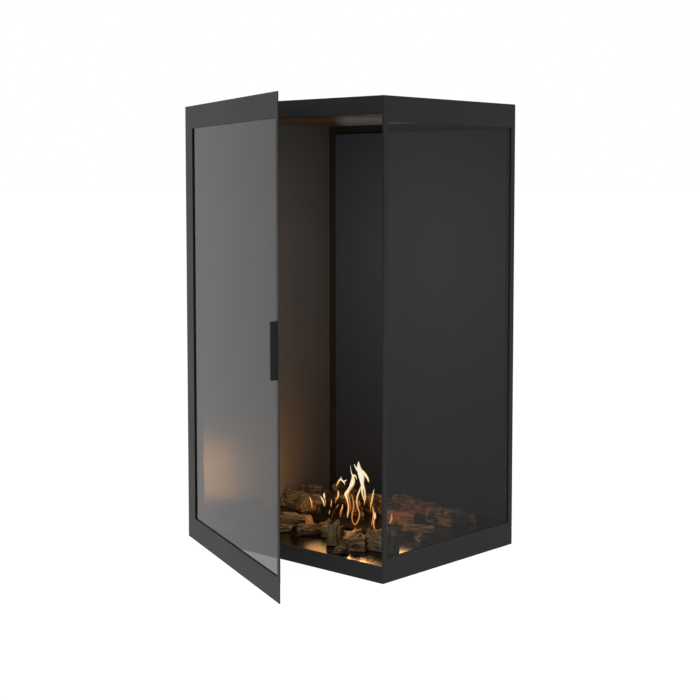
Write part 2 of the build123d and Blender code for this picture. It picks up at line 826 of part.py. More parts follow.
def casing_nodes():
    return {
        "base_pan": make_base_pan(), "top_cover": make_top_cover(),
        "left_casing_panel": make_left_casing_panel(), "back_casing_panel": make_back_casing_panel(),
        "front_frame": make_front_frame(), "side_frame": make_side_frame(),
        "side_glass": make_side_glass(), "side_glass_gasket": make_side_glass_gasket(),
        "side_glass_sill": make_side_glass_sill(), "side_glass_head": make_side_glass_head(),
        "side_glass_rear_clip": make_side_glass_rear_clip(), "casing_screws": make_casing_screws(),
        "left_liner": make_left_liner(), "back_liner": make_back_liner(),
        "ceiling_liner": make_ceiling_liner(), "left_insulation": make_left_insulation(),
        "ceiling_insulation": make_ceiling_insulation(), "back_glass_panel": make_back_glass_panel(),
        "back_panel_spacers": make_back_panel_spacers(), "door_magnets": make_door_magnets(),
    }


def burner_nodes():
    return {
        "floor_deck": cut_burner_screws(make_floor_deck()),
        "deck_rail_left": make_deck_rail_left(), "deck_rail_right": make_deck_rail_right(),
        "burner_tank": make_burner_tank(), "burner_wick": make_burner_wick(),
        "burner_top_plate": make_burner_top_plate(), "burner_screws": make_burner_screws(),
        "burner_shutter": make_burner_shutter(), "shutter_knob": make_shutter_knob(),
        "shutter_guides": make_shutter_guides(),
    }


def pivot_nodes():
    return {
        "hinge_bracket_bottom": make_hinge_bracket_bottom(), "hinge_bracket_top": make_hinge_bracket_top(),
        "hinge_pins": make_hinge_pins(), "thrust_washers": make_thrust_washers(),
    }


def door_nodes():
    shut = {
        "door_frame": make_door_frame(), "door_glass": make_door_glass(),
        "door_glass_gasket": make_door_glass_gasket(), "door_retainer_top": make_door_retainer_top(),
        "door_retainer_bottom": make_door_retainer_bottom(),
        "door_retainer_hinge": make_door_retainer_hinge(), "retainer_screws": make_retainer_screws(),
        "door_handle": make_door_handle(), "hinge_lugs": make_hinge_lugs(),
        "hinge_bushes": make_hinge_bushes(),
    }
    return {name: open_door(piece) for name, piece in shut.items()}


def log_nodes():
    laid = lay_logs()
    logs = {name: laid[name] for name in log_shares}
    logs["wood_chips"] = Compound([laid[name] for name in chip_shares])
    return logs


def main():
    os.makedirs("parts", exist_ok=True)
    for group in (casing_nodes(), burner_nodes(), pivot_nodes(), door_nodes(), log_nodes()):
        for name, piece in group.items():
            export_step(piece, os.path.join("parts", name + ".step"))


main()
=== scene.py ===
import json
import math

import bmesh
import bpy
import numpy as np
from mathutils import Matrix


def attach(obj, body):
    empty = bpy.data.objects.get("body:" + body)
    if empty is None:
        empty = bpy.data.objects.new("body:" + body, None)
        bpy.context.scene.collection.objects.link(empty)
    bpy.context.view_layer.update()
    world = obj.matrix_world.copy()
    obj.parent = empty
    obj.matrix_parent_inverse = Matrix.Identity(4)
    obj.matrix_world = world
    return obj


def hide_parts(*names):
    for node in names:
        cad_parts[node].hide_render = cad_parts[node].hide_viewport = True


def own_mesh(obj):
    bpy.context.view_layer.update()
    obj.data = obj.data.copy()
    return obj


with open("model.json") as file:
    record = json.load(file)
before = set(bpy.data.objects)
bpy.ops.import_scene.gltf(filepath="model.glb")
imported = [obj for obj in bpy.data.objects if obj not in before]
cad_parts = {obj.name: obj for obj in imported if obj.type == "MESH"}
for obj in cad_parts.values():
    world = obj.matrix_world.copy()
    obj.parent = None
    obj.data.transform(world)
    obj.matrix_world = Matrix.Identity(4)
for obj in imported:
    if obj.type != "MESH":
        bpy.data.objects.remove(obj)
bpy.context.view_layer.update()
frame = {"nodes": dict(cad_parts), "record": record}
mm = 0.001

# Camera, lamps and backdrop

camera = {
    "place": (2.1875, -2.4067, 0.8167),
    "turn": 42.217,              # degrees to the left of the +Y direction
    "pitch": 4.309,              # degrees below the level
    "focal": 1426.1,             # in pixels of the 700 pixel frame
    "frame": 700,
    "sensor": 36,                # mm
    "shift": -0.08,              # share of the frame's width
    "reach": 600,                # metres, past the floor's far corners
}


# A nearly level camera. Its small downward shift keeps the object's uprights nearly parallel.
def makeCamera():
    optics = bpy.data.cameras.new("camera")
    optics.sensor_width = camera["sensor"]
    optics.lens = camera["sensor"] * camera["focal"] / camera["frame"]
    optics.shift_y = camera["shift"]
    optics.clip_end = camera["reach"]
    eye = bpy.data.objects.new("camera", optics)
    eye.location = camera["place"]
    eye.rotation_euler = (math.radians(90 - camera["pitch"]), 0, math.radians(camera["turn"]))
    bpy.context.collection.objects.link(eye)
    bpy.context.scene.camera = eye
    bpy.context.scene.view_settings.view_transform = "Standard"


# Turns a lamp's -Z axis towards a target
def lookAt(lamp, target):
    away = np.array(lamp.location) - np.array(target)
    flat = math.hypot(away[0], away[1])
    lamp.rotation_euler = (math.atan2(flat, away[2]), 0, math.atan2(away[1], away[0]) + math.pi / 2)


lamps = {
    "keyLamp": {"place": (-1.2, -3.4, 2.4), "aim": (0, 0, 0.5), "size": 2.4, "power": 40},
    "fillLamp": {"place": (3.4, -0.4, 1.8), "aim": (0, 0, 0.5), "size": 2.0, "power": 1},
    "backLamp": {"place": (0.8, 3.2, 2.6), "aim": (0, 0, 0.5), "size": 2.0, "power": 30},
}
innerLamps = {
    "chamberLamp": {"place": (0.02, -0.20, 0.66), "aim": (-0.12, 0.3, 0.58), "size": 0.4, "power": 1.7},
    "logLamp": {"place": (0.5, -0.75, 0.55), "aim": (0.1, -0.1, 0.06), "size": 0.4, "power": 2.6},
}
fireColour = (1.0, 0.5, 0.17)
fireLamps = {
    "fireLampLeft": {"place": (-0.03, -0.045, 0.11), "power": 0.28, "radius": 0.05},
    "fireLampMiddle": {"place": (0.035, -0.045, 0.12), "power": 0.9, "radius": 0.055},
    "fireLampRight": {"place": (0.09, -0.045, 0.12), "power": 0.85, "radius": 0.05},
}
# The fire's shine on the deck, from small lamps that light the deck alone
deckLamps = {
    "deckLampSide": {"place": (0.198, -0.048, 0.085), "power": 0.6, "radius": 0.03},
    "deckLampFront": {"place": (0.07, -0.06, 0.12), "power": 1.6, "radius": 0.035},
}
# The fire's glow on the left lining, from a small lamp that faces the lining alone
liningLamp = {"place": (-0.085, -0.05, 0.11), "aim": (-0.265, -0.19, 0.14), "size": 0.13, "power": 1.5}


def leaveOut(group, thing):
    group.objects.link(thing)
    group.collection_objects[-1].light_linking.link_state = "EXCLUDE"


# Nodes that a lamp leaves out. The inner lamps leave out the panes, and the fire's lamps the polished
# back panel too: each would mirror a lamp as a disc.
def leftOut(name, *nodes):
    group = bpy.data.collections.new(name)
    for node in nodes:
        leaveOut(group, frame["nodes"][node])
    return group


# Only the fire's own lamps are mirrored by the steel
def placeLamp(name, bulb, s, lit=None, fire=False):
    lamp = bpy.data.objects.new(name, bulb)
    lamp.location = s["place"]
    if "aim" in s:
        lookAt(lamp, s["aim"])
    lamp.visible_camera = False
    lamp.visible_glossy = fire
    lamp.visible_transmission = False
    bulb.energy = s["power"]
    if fire:
        bulb.color = fireColour
    if lit:
        lamp.light_linking.receiver_collection = lit
    bpy.context.collection.objects.link(lamp)


def areaLight(name, s):
    bulb = bpy.data.lights.new(name, "AREA")
    bulb.size = s["size"]
    return bulb


def pointLight(name, s):
    bulb = bpy.data.lights.new(name, "POINT")
    bulb.shadow_soft_size = s["radius"]
    return bulb


# The logs join the last group as they are made, so that the lining lamp passes them by
panes = leftOut("panes", "side_glass", "door_glass")
polished = leftOut("polished", "side_glass", "door_glass", "back_glass_panel")
offLining = leftOut("offLining", "side_glass", "door_glass", "back_glass_panel")
deckAlone = bpy.data.collections.new("deckAlone")
deckAlone.objects.link(frame["nodes"]["floor_deck"])


def makeLamps():
    for name, s in lamps.items():
        placeLamp(name, areaLight(name, s), s)
    for name, s in innerLamps.items():
        placeLamp(name, areaLight(name, s), s, panes)
    placeLamp("liningLamp", areaLight("liningLamp", liningLamp), liningLamp, offLining, fire=True)
    for name, s in deckLamps.items():
        placeLamp(name, pointLight(name, s), s, deckAlone, fire=True)
    for name, s in fireLamps.items():
        placeLamp(name, pointLight(name, s), s, polished, fire=True)


def mathNode(nodes, operation, value=None):
    node = nodes.new("ShaderNodeMath")
    node.operation = operation
    if value is not None:
        node.inputs[1].default_value = value
    return node


# 1 for camera, glossy and transmitted rays that met no matt surface, 0 for the rays that light the object
def seenDirectly(nodes, links):
    path = nodes.new("ShaderNodeLightPath")
    first = mathNode(nodes, "MAXIMUM")
    second = mathNode(nodes, "MAXIMUM")
    unlit = mathNode(nodes, "LESS_THAN", 0.5)
    both = mathNode(nodes, "MULTIPLY")
    links.new(path.outputs["Is Camera Ray"], first.inputs[0])
    links.new(path.outputs["Is Glossy Ray"], first.inputs[1])
    links.new(first.outputs[0], second.inputs[0])
    links.new(path.outputs["Is Transmission Ray"], second.inputs[1])
    links.new(path.outputs["Diffuse Depth"], unlit.inputs[0])
    links.new(second.outputs[0], both.inputs[0])
    links.new(unlit.outputs[0], both.inputs[1])
    return both.outputs[0]


plainWhite = (1, 1, 1, 1)
studio = {
    "worldLight": 0.48,          # what the white world gives the object
    "floorSide": 200.0,          # metres from the middle to the edge
    "floorPaint": (0.8, 0.8, 0.8, 1),
    "floorGlow": 1.12,
    "glowShare": 0.86,           # how much of the floor's white is its own
}


def makeWorld():
    world = bpy.data.worlds.new("studio")
    bpy.context.scene.world = world
    world.use_nodes = True
    nodes, links = world.node_tree.nodes, world.node_tree.links
    nodes.clear()
    out = nodes.new("ShaderNodeOutputWorld")
    mix = nodes.new("ShaderNodeMixShader")
    soft = nodes.new("ShaderNodeBackground")
    soft.inputs["Color"].default_value = plainWhite
    soft.inputs["Strength"].default_value = studio["worldLight"]
    white = nodes.new("ShaderNodeBackground")
    white.inputs["Color"].default_value = plainWhite
    white.inputs["Strength"].default_value = 1.0
    links.new(seenDirectly(nodes, links), mix.inputs["Fac"])
    links.new(soft.outputs[0], mix.inputs[1])
    links.new(white.outputs[0], mix.inputs[2])
    links.new(mix.outputs[0], out.inputs["Surface"])


# A pale floor. Part of its white is its own, so the soft shadow stays faint.
def makeFloor():
    side = studio["floorSide"]
    mesh = bpy.data.meshes.new("floor")
    corners = [(-side, -side, 0), (side, -side, 0), (side, side, 0), (-side, side, 0)]
    mesh.from_pydata(corners, [], [(0, 1, 2, 3)])
    floor = bpy.data.objects.new("floor", mesh)
    bpy.context.collection.objects.link(floor)
    mat = bpy.data.materials.new("floorWhite")
    mat.cycles.emission_sampling = "NONE"    # the floor is no lamp
    mat.use_nodes = True
    nodes, links = mat.node_tree.nodes, mat.node_tree.links
    nodes.clear()
    out = nodes.new("ShaderNodeOutputMaterial")
    paint = nodes.new("ShaderNodeBsdfDiffuse")
    paint.inputs["Color"].default_value = studio["floorPaint"]
    glow = nodes.new("ShaderNodeEmission")
    glow.inputs["Color"].default_value = plainWhite
    glow.inputs["Strength"].default_value = studio["floorGlow"]
    share = mathNode(nodes, "MULTIPLY", studio["glowShare"])
    mix = nodes.new("ShaderNodeMixShader")
    links.new(seenDirectly(nodes, links), share.inputs[0])
    links.new(share.outputs[0], mix.inputs["Fac"])
    links.new(paint.outputs[0], mix.inputs[1])
    links.new(glow.outputs[0], mix.inputs[2])
    links.new(mix.outputs[0], out.inputs["Surface"])
    mesh.materials.append(mat)


makeCamera()
makeLamps()
makeWorld()
makeFloor()
print("camera, lamps and floor are set")

# Shader groups that several finishes share

finishSockets = {"Color": "NodeSocketColor", "Roughness": "NodeSocketFloat", "Height": "NodeSocketFloat"}


# A node group that gives a finish. Its inputs have a default each: four numbers for a colour, else one.
def newGroup(name, ins):
    group = bpy.data.node_groups.new(name, "ShaderNodeTree")
    for label, value in ins.items():
        kind = "NodeSocketColor" if isinstance(value, tuple) else "NodeSocketFloat"
        socket = group.interface.new_socket(label, in_out="INPUT", socket_type=kind)
        socket.default_value = value
    for label, kind in finishSockets.items():
        group.interface.new_socket(label, in_out="OUTPUT", socket_type=kind)
    return group, group.nodes.new("NodeGroupInput"), group.nodes.new("NodeGroupOutput")


# Maps one range of values to another. An end that isn't given stays at 0 or 1.
def rangeNode(nodes, ends):
    node = nodes.new("ShaderNodeMapRange")
    for label, value in ends.items():
        node.inputs[label].default_value = value
    return node


def scaleNode(nodes):
    node = nodes.new("ShaderNodeVectorMath")
    node.operation = "SCALE"
    return node


def colourMix(nodes):
    node = nodes.new("ShaderNodeMix")
    node.data_type = "RGBA"
    return node


def attributeNode(nodes, name):
    node = nodes.new("ShaderNodeAttribute")
    node.attribute_name = name
    return node


def noiseNode(nodes, scale, detail, roughness=0.5):
    node = nodes.new("ShaderNodeTexNoise")
    node.inputs["Scale"].default_value = scale
    node.inputs["Detail"].default_value = detail
    node.inputs["Roughness"].default_value = roughness
    return node


# Scale, detail and roughness of the paint's two noises
paintLook = {"peel": (900, 2, 0.5), "broad": (7, 3, 0.6)}


# Powder coat: fine orange peel as height, broad soft mottling of colour and roughness
def makePaintGrain():
    ins = {"Base": (0.03, 0.03, 0.03, 1), "Roughness": 0.5, "Mottle": 0.15}
    group, gin, gout = newGroup("paintGrain", ins)
    nodes, links = group.nodes, group.links
    place = nodes.new("ShaderNodeTexCoord")
    peel = noiseNode(nodes, *paintLook["peel"])
    broad = noiseNode(nodes, *paintLook["broad"])
    for tex in (peel, broad):
        links.new(place.outputs["Object"], tex.inputs["Vector"])
    spread = rangeNode(nodes, {"To Min": -1, "To Max": 1})
    scaled = mathNode(nodes, "MULTIPLY")
    factor = mathNode(nodes, "ADD", 1)
    tint = scaleNode(nodes)
    rough = mathNode(nodes, "MULTIPLY")
    links.new(broad.outputs["Fac"], spread.inputs["Value"])
    links.new(spread.outputs["Result"], scaled.inputs[0])
    links.new(gin.outputs["Mottle"], scaled.inputs[1])
    links.new(scaled.outputs[0], factor.inputs[0])
    links.new(gin.outputs["Base"], tint.inputs[0])
    links.new(factor.outputs[0], tint.inputs["Scale"])
    links.new(gin.outputs["Roughness"], rough.inputs[0])
    links.new(factor.outputs[0], rough.inputs[1])
    links.new(tint.outputs[0], gout.inputs["Color"])
    links.new(rough.outputs[0], gout.inputs["Roughness"])
    links.new(peel.outputs["Fac"], gout.inputs["Height"])
    return group


paintGrain = makePaintGrain()


def newMaterial(name):
    mat = bpy.data.materials.new(name)
    mat.use_nodes = True
    nodes, links = mat.node_tree.nodes, mat.node_tree.links
    return mat, nodes, links, nodes["Principled BSDF"]


# A painted or bare metal finish on the shared grain group
def paintMaterial(name, base, rough, mottle=0.12, level=0.2, metal=0.0, peel=0.00004):
    mat, nodes, links, bsdf = newMaterial(name)
    grain = nodes.new("ShaderNodeGroup")
    grain.node_tree = paintGrain
    grain.inputs["Base"].default_value = (*base, 1)
    grain.inputs["Roughness"].default_value = rough
    grain.inputs["Mottle"].default_value = mottle
    bump = nodes.new("ShaderNodeBump")
    bump.inputs["Distance"].default_value = peel
    links.new(grain.outputs["Color"], bsdf.inputs["Base Color"])
    links.new(grain.outputs["Roughness"], bsdf.inputs["Roughness"])
    links.new(grain.outputs["Height"], bump.inputs["Height"])
    links.new(bump.outputs["Normal"], bsdf.inputs["Normal"])
    bsdf.inputs["Metallic"].default_value = metal
    bsdf.inputs["Specular IOR Level"].default_value = level
    return mat


# A smooth finish that is the same all over, set on the shader's own sockets
def evenMaterial(name, base, rough, level):
    mat = bpy.data.materials.new(name)
    mat.use_nodes = True
    sockets = mat.node_tree.nodes["Principled BSDF"].inputs
    sockets["Base Color"].default_value = (*base, 1)
    sockets["Roughness"].default_value = rough
    sockets["Specular IOR Level"].default_value = level
    return mat


# Painted shade on the ceiling: its colour darkens from the right towards the left
ceilingLook = {
    "unshaded": (0.11, 0.101, 0.092),
    "paintedShade": (0.03, 0.018, 0.010),
    "across": (0.75, 0.66, 0),    # the direction in which the painted shade fades
    "fade": (-0.035, -0.005),     # where it starts and ends to fade, in metres from the part's middle
}


# The ceiling over the fire, with painted shade that darkens it towards the left; the right keeps the plain
# colour
def ceilingMaterial():
    look = ceilingLook
    mat = paintMaterial("ceilingPaintedShade", look["unshaded"], 0.5, mottle=0.2)
    nodes, links = mat.node_tree.nodes, mat.node_tree.links
    place = nodes.new("ShaderNodeTexCoord")
    across = nodes.new("ShaderNodeVectorMath")
    across.operation = "DOT_PRODUCT"
    across.inputs[1].default_value = look["across"]
    fade = rangeNode(nodes, {"From Min": look["fade"][0], "From Max": look["fade"][1]})
    # Painted shade, mixed into the ceiling's colour across the part
    tint = colourMix(nodes)
    tint.inputs["A"].default_value = (*look["paintedShade"], 1)
    tint.inputs["B"].default_value = (*look["unshaded"], 1)
    links.new(place.outputs["Object"], across.inputs[0])
    links.new(across.outputs["Value"], fade.inputs["Value"])
    links.new(fade.outputs["Result"], tint.inputs["Factor"])
    links.new(tint.outputs["Result"], nodes["Group"].inputs["Base"])
    return mat


glassLook = {
    "cloud": (3, 2),             # scale and detail of the tint's broad clouds
    "cloudShades": (0.96, 1.04),
}


# Smoked glass. Shadow rays pass with the same tint, so the lamps reach behind it. The bend sets how much
# the pane mirrors, and the veil is a painted glow: a faint grey that the pane gives off itself,
# the same from every side.
def glassMaterial(name, tint, bend, paintedGlow):
    mat, nodes, links, bsdf = newMaterial(name)
    place = nodes.new("ShaderNodeTexCoord")
    haze = noiseNode(nodes, *glassLook["cloud"])
    ramp = nodes.new("ShaderNodeValToRGB")
    for element, shade in zip(ramp.color_ramp.elements, glassLook["cloudShades"]):
        element.color = (*(shade * part for part in tint), 1)
    links.new(place.outputs["Object"], haze.inputs["Vector"])
    links.new(haze.outputs["Fac"], ramp.inputs["Fac"])
    links.new(ramp.outputs["Color"], bsdf.inputs["Base Color"])
    bsdf.inputs["Roughness"].default_value = 0
    bsdf.inputs["Transmission Weight"].default_value = 1
    bsdf.inputs["IOR"].default_value = bend
    # Painted glow: the pane gives off a faint grey of its own
    bsdf.inputs["Emission Color"].default_value = plainWhite
    bsdf.inputs["Emission Strength"].default_value = paintedGlow
    mat.cycles.emission_sampling = "NONE"    # the painted glow lights nothing
    clear = nodes.new("ShaderNodeBsdfTransparent")
    clear.inputs["Color"].default_value = (*tint, 1)
    path = nodes.new("ShaderNodeLightPath")
    mix = nodes.new("ShaderNodeMixShader")
    links.new(path.outputs["Is Shadow Ray"], mix.inputs["Fac"])
    links.new(bsdf.outputs[0], mix.inputs[1])
    links.new(clear.outputs[0], mix.inputs[2])
    links.new(mix.outputs[0], nodes["Material Output"].inputs["Surface"])
    return mat


woodLook = {
    "along": (0.07, 1, 1),       # the streaks are drawn out along the log
    "streak": (420, 4, 0.65),    # scale, detail and roughness of the noise
    "patch": (45, 3, 0.6),
    "streakRange": {"From Min": 0.35, "From Max": 0.65},
    "patchRange": {"From Min": 0.42, "From Max": 0.8},
    # painted shade: how far the hollows are darkened
    "hollowShadeRange": {"To Min": 1.0, "To Max": 0.12},
    "roughRange": {"To Min": 0.75, "To Max": 0.95},
    "barkMost": 0.8,
    "bumpHeight": 0.0006,
    "bumpStrength": 0.8,
    "level": 0.25,
}


# Wood on the log's own places: long streaks between two colours, bark in patches, painted shade in the
# hollows
def makeWoodGrain():
    look = woodLook
    ins = {"Light": (0.2, 0.15, 0.1, 1), "Dark": (0.05, 0.04, 0.03, 1), "Bark": (0.03, 0.02, 0.015, 1)}
    group, gin, gout = newGroup("woodGrain", ins)
    nodes, links = group.nodes, group.links
    place = attributeNode(nodes, "grainPlace")
    stretch = nodes.new("ShaderNodeMapping")
    stretch.inputs["Scale"].default_value = look["along"]
    streak = noiseNode(nodes, *look["streak"])
    patch = noiseNode(nodes, *look["patch"])
    links.new(place.outputs["Vector"], stretch.inputs["Vector"])
    links.new(stretch.outputs["Vector"], streak.inputs["Vector"])
    links.new(place.outputs["Vector"], patch.inputs["Vector"])
    # Split wood, in light and dark streaks
    contrast = rangeNode(nodes, look["streakRange"])
    wood = colourMix(nodes)
    links.new(streak.outputs["Fac"], contrast.inputs["Value"])
    links.new(contrast.outputs["Result"], wood.inputs["Factor"])
    links.new(gin.outputs["Dark"], wood.inputs["A"])
    links.new(gin.outputs["Light"], wood.inputs["B"])
    # Bark, dark with lighter patches
    spread = rangeNode(nodes, look["patchRange"])
    skin = colourMix(nodes)
    links.new(patch.outputs["Fac"], spread.inputs["Value"])
    links.new(spread.outputs["Result"], skin.inputs["Factor"])
    links.new(gin.outputs["Bark"], skin.inputs["A"])
    links.new(gin.outputs["Light"], skin.inputs["B"])
    bark = attributeNode(nodes, "barkShare")
    most = mathNode(nodes, "MULTIPLY", look["barkMost"])
    both = colourMix(nodes)
    links.new(bark.outputs["Fac"], most.inputs[0])
    links.new(most.outputs[0], both.inputs["Factor"])
    links.new(wood.outputs["Result"], both.inputs["A"])
    links.new(skin.outputs["Result"], both.inputs["B"])
    # Painted shade in the furrows, cracks and splintered ends
    hollowShade = attributeNode(nodes, "hollowShade")
    shade = rangeNode(nodes, look["hollowShadeRange"])
    tint = scaleNode(nodes)
    links.new(hollowShade.outputs["Fac"], shade.inputs["Value"])
    links.new(both.outputs["Result"], tint.inputs[0])
    links.new(shade.outputs["Result"], tint.inputs["Scale"])
    links.new(tint.outputs[0], gout.inputs["Color"])
    rough = rangeNode(nodes, look["roughRange"])
    links.new(patch.outputs["Fac"], rough.inputs["Value"])
    links.new(rough.outputs["Result"], gout.inputs["Roughness"])
    links.new(streak.outputs["Fac"], gout.inputs["Height"])
    return group


woodGrain = makeWoodGrain()


def logMaterial(name, light, dark, bark):
    mat, nodes, links, bsdf = newMaterial(name)
    grain = nodes.new("ShaderNodeGroup")
    grain.node_tree = woodGrain
    for label, colour in (("Light", light), ("Dark", dark), ("Bark", bark)):
        grain.inputs[label].default_value = (*colour, 1)
    bump = nodes.new("ShaderNodeBump")
    bump.inputs["Distance"].default_value = woodLook["bumpHeight"]
    bump.inputs["Strength"].default_value = woodLook["bumpStrength"]
    links.new(grain.outputs["Color"], bsdf.inputs["Base Color"])
    links.new(grain.outputs["Roughness"], bsdf.inputs["Roughness"])
    links.new(grain.outputs["Height"], bump.inputs["Height"])
    links.new(bump.outputs["Normal"], bsdf.inputs["Normal"])
    bsdf.inputs["Specular IOR Level"].default_value = woodLook["level"]
    return mat


brownWood = {"light": (0.22, 0.148, 0.07), "dark": (0.048, 0.032, 0.016), "bark": (0.008, 0.0065, 0.0055)}
redWood = {"light": (0.13, 0.065, 0.042), "dark": (0.045, 0.024, 0.017), "bark": (0.024, 0.014, 0.011)}
finishes = {
    "black_steel": paintMaterial("blackPowderCoat", (0.0185, 0.0185, 0.019), 0.5, level=0.13),
    "handle_black": paintMaterial("handleBlack", (0.006, 0.0065, 0.0065), 0.42, level=0.08),
    "liner_steel": paintMaterial("linerSatin", (0.05, 0.044, 0.039), 0.34, mottle=0.15, level=0.9),
    "deck_steel": paintMaterial("deckSatin", (0.003, 0.0028, 0.0025), 0.22, mottle=0.2, level=0.34),
    "inner_steel": paintMaterial("innerMatt", (0.02, 0.02, 0.02), 0.6),
    "pivot_steel": paintMaterial("pivotSatin", (0.03, 0.03, 0.03), 0.4),
    "black_glass": evenMaterial("blackGlass", (0.027, 0.027, 0.0285), 0.5, level=0.2),
    "seal_rubber": paintMaterial("sealBlack", (0.008, 0.008, 0.008), 0.7),
    "board": paintMaterial("insulationBoard", (0.6, 0.58, 0.53), 0.9, mottle=0.1, level=0.2),
    "stainless": paintMaterial("burnerSteel", (0.022, 0.019, 0.016), 0.6, mottle=0.25, metal=1, level=0.5),
    "screw_steel": paintMaterial("screwBlack", (0.05, 0.05, 0.05), 0.35, metal=1.0, level=0.5),
    "bearing_brass": paintMaterial("bearingBrass", (0.55, 0.4, 0.18), 0.3, metal=1.0, level=0.5),
    "magnet_iron": paintMaterial("magnetIron", (0.12, 0.12, 0.12), 0.5, metal=1.0, level=0.5),
    "wick_ceramic": paintMaterial("sootedWool", (0.06, 0.05, 0.042), 0.95, mottle=0.2, peel=0.0003),
    "log_ceramic": logMaterial("logBrown", **brownWood),
    "log_red": logMaterial("logRed", **redWood),
}
# Nodes that look different from the rest of their slot
ownFinishes = {
    # The side glass has a faint painted glow
    "side_glass": glassMaterial("sideGlass", (0.52, 0.52, 0.52), 1.0, 0.0125),
    "door_glass": glassMaterial("doorGlass", (0.15, 0.15, 0.15), 1.25, 0),
    "ceiling_liner": ceilingMaterial(),
    # Painted shade: the back liner is painted darker for the shade that lies on it
    "back_liner": paintMaterial("backLinerPaintedShade", (0.012, 0.008, 0.005), 0.5, mottle=0.2),
    # Painted light: the rear clip is painted lighter than its slot's steel, to make up for the shade it
    # stands in
    "side_glass_rear_clip": paintMaterial("clipGrey", (0.07, 0.07, 0.07), 0.5),
}


# Every CAD node gets its own finish, or else that of its material slot
def dressNodes():
    for part in frame["record"]["subparts"]:
        node = part["node"]
        finish = ownFinishes.get(node) or finishes[part["material_slot"]]
        for slot in frame["nodes"][node].material_slots:
            slot.material = finish


dressNodes()
print("finishes are on")


# Logs and flames are worked out as whole arrays


# One steady number from 0 to 1 for each whole-numbered cell, from a mixed product of its places
def latticeValue(cell, seed):
    mixed = cell[..., 0] * 374761393 + cell[..., 1] * 668265263 + cell[..., 2] * 2147483647 + seed * 974711
    mixed = (mixed ^ (mixed >> 13)) * 1274126177
    return ((mixed ^ (mixed >> 16)) & 0xFFFF) / 65535.0


# Value noise: the eight lattice values round a point, blended by 3t^2 - 2t^3 along each axis
def smoothNoise(place, seed):
    low = np.floor(place).astype(np.int64)
    t = place - low
    t = t * t * (3 - 2 * t)
    total = np.zeros(place.shape[0])
    for corner in np.ndindex(2, 2, 2):
        step = np.array(corner)
        weight = np.prod(np.where(step, t, 1 - t), axis=1)
        total += weight * latticeValue(low + step, seed)
    return total


# The sum of smooth noise at doubled scales and halved heights, brought back to 0 to 1
def layeredNoise(place, seed, layers=3):
    total, height, reach = np.zeros(place.shape[0]), 1.0, 0.0
    for layer in range(layers):
        total += height * smoothNoise(place * 2.0 ** layer, seed + layer)
        reach += height
        height *= 0.5
    return total / reach


def pointArray(mesh, name, field, wide):
    values = np.empty(len(mesh.vertices) * wide, dtype=np.float32)
    getattr(mesh, name).foreach_get(field, values)
    return values.reshape(-1, wide).astype(float)


def addAttribute(mesh, name, kind, values):
    attribute = mesh.attributes.new(name, kind, "POINT")
    field = "vector" if kind == "FLOAT_VECTOR" else "value"
    attribute.data.foreach_set(field, np.ascontiguousarray(values, dtype=np.float32).ravel())


# A copy of a node's mesh with its doubles merged, as one mesh for each loose solid
def looseCopies(node):
    work = bmesh.new()
    work.from_mesh(frame["nodes"][node].data)
    bmesh.ops.remove_doubles(work, verts=work.verts, dist=1e-5)
    left, meshes = set(work.verts), []
    while left:
        group, front = set(), [min(left, key=lambda vert: vert.index)]
        while front:
            vert = front.pop()
            if vert not in group:
                group.add(vert)
                front += [edge.other_vert(vert) for edge in vert.link_edges]
        left -= group
        order = sorted(group, key=lambda vert: vert.index)
        place = {vert: i for i, vert in enumerate(order)}
        faces = [[place[vert] for vert in face.verts] for face in work.faces if face.verts[0] in group]
        mesh = bpy.data.meshes.new(node)
        mesh.from_pydata([vert.co[:] for vert in order], [], faces)
        meshes.append(mesh)
    work.free()
    return meshes


# A piece from a closed mesh, rebuilt as even small quads with softened edges
def remeshed(name, mesh, voxel):
    piece = bpy.data.objects.new(name, mesh)
    bpy.context.collection.objects.link(piece)
    remesh = piece.modifiers.new("evenQuads", "REMESH")
    remesh.mode = "VOXEL"
    remesh.voxel_size = voxel
    smooth = piece.modifiers.new("softEdges", "SMOOTH")
    smooth.factor = 0.5
    smooth.iterations = 3
    bpy.context.view_layer.update()
    final = bpy.data.meshes.new_from_object(piece.evaluated_get(bpy.context.evaluated_depsgraph_get()))
    piece.modifiers.clear()
    piece.data = final
    return piece


logLook = {
    "voxel": 0.0016,
    "barkDepth": 0.0026,      # furrows between the ridges of the bark
    "grainDepth": 0.0010,     # fine lines on the split faces
    "crackDepth": 0.0030,
    "endDepth": 0.0045,       # splinters at the broken ends
    "barkStretch": (0.020, 0.0055, 0.0055),   # ridge size along the log and across it
    "grainStretch": (0.060, 0.0022, 0.0022),
    "crackStretch": (0.050, 0.0110, 0.0110),
    "splinterStretch": (1, 0.004, 0.004),
    "patch": 0.030,           # size of the bark patches
    "patchEdge": 9,           # the larger these three, the sharper the edge of patch, furrow and crack
    "furrowEdge": 3.2,
    "crackEdge": 16,
    "endFacing": (2.2, 1.1),  # how steeply a face turns into an end, and what that starts from
    "seedStep": 7.31,         # moves the noise from log to log
    "firstSeed": 3,
    "barkShare": 0.62,
    "splitShare": 0.2,        # bark share of the logs that mostly show split wood
    "split": ("log_front_wedge", "log_front_slab", "log_front_stub", "log_front_left", "log_right_bar",
              "log_back_left"),
}


# The directions of the largest, middle and least spread of the points, as rows
def longAxes(points):
    centred = points - points.mean(axis=0)
    return np.linalg.eigh(centred.T @ centred)[1].T[::-1]


